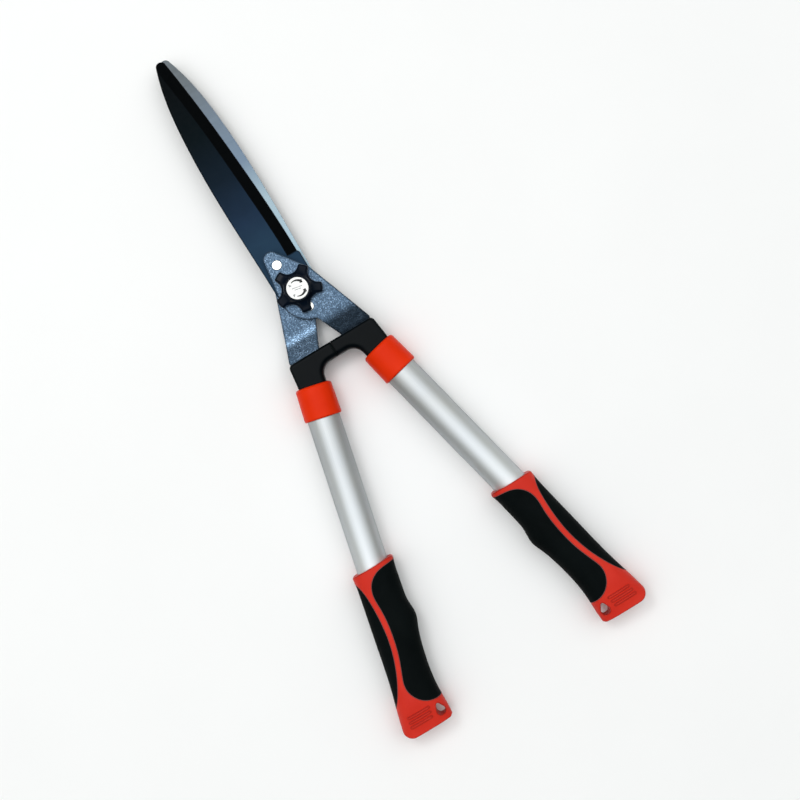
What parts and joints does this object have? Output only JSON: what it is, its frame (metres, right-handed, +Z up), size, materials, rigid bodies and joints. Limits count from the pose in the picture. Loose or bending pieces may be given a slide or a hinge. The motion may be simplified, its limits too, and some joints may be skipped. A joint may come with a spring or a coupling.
{
  "type": "hedge shears",
  "caption": "Two-handed hedge shears: long blades on tangs that pivot under a lobed tension knob, bumper arms, aluminium tube handles and two-tone moulded grips.",
  "frame": {"origin": "on the pivot axis, at the underside of the pivot bolt's head, which lies on the surface that the shears rest on", "axes": "+Y along the closed blades to their tips; +Z up the pivot axis to the tension knob; +X to the handle that carries the upper blade"},
  "size_m": [0.2352, 0.5934, 0.0396],
  "materials": {
    "blade_coat": "dark non-stick coating, satin",
    "blade_steel": "ground across the blade",
    "hammered_paint": "hammered blue-grey paint",
    "rivet_plating": "bright nickel plating",
    "black_plastic": "satin, finely moulded",
    "tube_aluminium": "satin, drawn along the tube",
    "red_gloss": "glossy",
    "red_plastic": "satin",
    "pad_rubber": "matt, soft",
    "bumper_rubber": "matt",
    "bolt_steel": "zinc plated",
    "spring_steel": "oiled",
    "shim_brass": "plain",
    "insert_brass": "plain",
    "label_white": "printed, glossy"
  },
  "bodies": {
    "lower_half": {"lower_blade": "blade_steel", "lower_tang": "hammered_paint", "lower_rivets": "rivet_plating", "left_socket": "black_plastic", "left_tube": "tube_aluminium", "left_collar": "red_gloss", "left_cross_pin": "spring_steel", "left_grip_shell": "red_plastic", "left_grip_inner_pad": "pad_rubber", "left_grip_outer_pad": "pad_rubber", "bumper": "bumper_rubber", "pivot_bolt": "bolt_steel", "pivot_shim": "shim_brass", "disc_spring": "spring_steel"},
    "upper_half": {"upper_blade": "blade_coat", "upper_tang": "hammered_paint", "upper_rivets": "rivet_plating", "right_socket": "black_plastic", "right_tube": "tube_aluminium", "right_collar": "red_gloss", "right_cross_pin": "spring_steel", "right_grip_shell": "red_plastic", "right_grip_inner_pad": "pad_rubber", "right_grip_outer_pad": "pad_rubber"},
    "washer_group": {"thrust_washer": "bolt_steel"},
    "knob_group": {"knob": "black_plastic", "knob_insert": "insert_brass", "knob_label": "label_white"}
  },
  "joints": [
    {"name": "blade_pivot", "type": "hinge", "parent": "lower_half", "child": "upper_half", "pos_m": [0, 0, 0.0172], "axis": [0, 0, 1], "range_deg": [0, 75]},
    {"name": "washer_lift", "type": "slide", "parent": "lower_half", "child": "washer_group", "axis": [0, 0, 1], "range_m": [0, 0.00063], "deforming": ["disc_spring"]},
    {"name": "knob_turn", "type": "hinge", "parent": "washer_group", "child": "knob_group", "pos_m": [0, 0, 0.0334], "axis": [0, 0, 1], "range_deg": [0, 180]}
  ],
  "couplings": [
    {"joint": "washer_lift", "follows": "knob_turn", "m_per_rad": 0.00019894}
  ]
}
